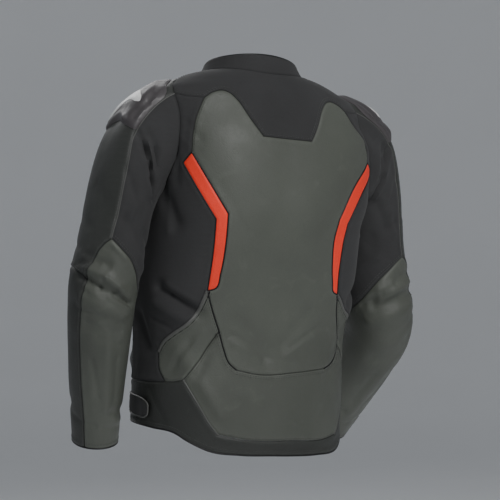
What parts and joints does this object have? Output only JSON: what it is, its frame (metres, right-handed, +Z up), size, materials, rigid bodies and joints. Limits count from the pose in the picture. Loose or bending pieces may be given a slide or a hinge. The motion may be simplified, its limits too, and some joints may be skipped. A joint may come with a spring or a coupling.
{
  "type": "leather motorcycle jacket",
  "caption": "Worn, hollow leather motorcycle jacket with a stand collar, set-in sleeves, hard shoulder cups, accordion elbows and a full front zip; held at its neck.",
  "frame": {"origin": "centre of the neck seam at the height of its back, where the jacket is held when it is worn", "axes": "+Z up along the neck, the front faces -Y and the back +Y, and the left side as worn is at +X"},
  "size_m": [0.6525, 0.3364, 0.6686],
  "materials": {
    "grey_leather": "satin grained leather with worn edges",
    "black_leather": "satin grained leather",
    "black_stretch": "matt ribbed stretch cloth",
    "red_leather": "satin leather",
    "protector_plastic": "satin moulded plastic",
    "light_insert": "satin moulded plastic",
    "zip_tape": "matt woven tape",
    "zip_metal": "satin dark metal"
  },
  "bodies": {
    "root": {"back_panel": "grey_leather", "back_side_left": "black_stretch", "back_side_right": "black_stretch", "collar": "black_stretch", "cup_insert_left": "light_insert", "cup_insert_right": "light_insert", "front_left": "black_leather", "front_right": "black_leather", "front_zip": "zip_tape", "hem_band": "black_leather", "lower_side_left": "grey_leather", "lower_side_right": "grey_leather", "lumbar_panel": "grey_leather", "shoulder_cup_left": "protector_plastic", "shoulder_cup_right": "protector_plastic", "sleeve_back_left": "black_stretch", "sleeve_back_right": "black_stretch", "sleeve_elbow_left": "grey_leather", "sleeve_elbow_right": "grey_leather", "sleeve_outer_left": "black_leather", "sleeve_outer_right": "black_leather", "sleeve_strip_left": "black_leather", "sleeve_strip_right": "black_leather", "stripe_left": "red_leather", "stripe_right": "red_leather", "waist_tab_left": "black_stretch", "waist_tab_right": "black_stretch", "yoke": "black_stretch", "zip_slider": "zip_metal"},
    "zip_pull": {"zip_pull": "zip_metal"}
  },
  "joints": [
    {"name": "zip_pull_hinge", "type": "hinge", "parent": "root", "child": "zip_pull", "pos_m": [0, -0.08416, -0.00852], "axis": [-1, 0, 0], "range_deg": [0, 160]}
  ]
}
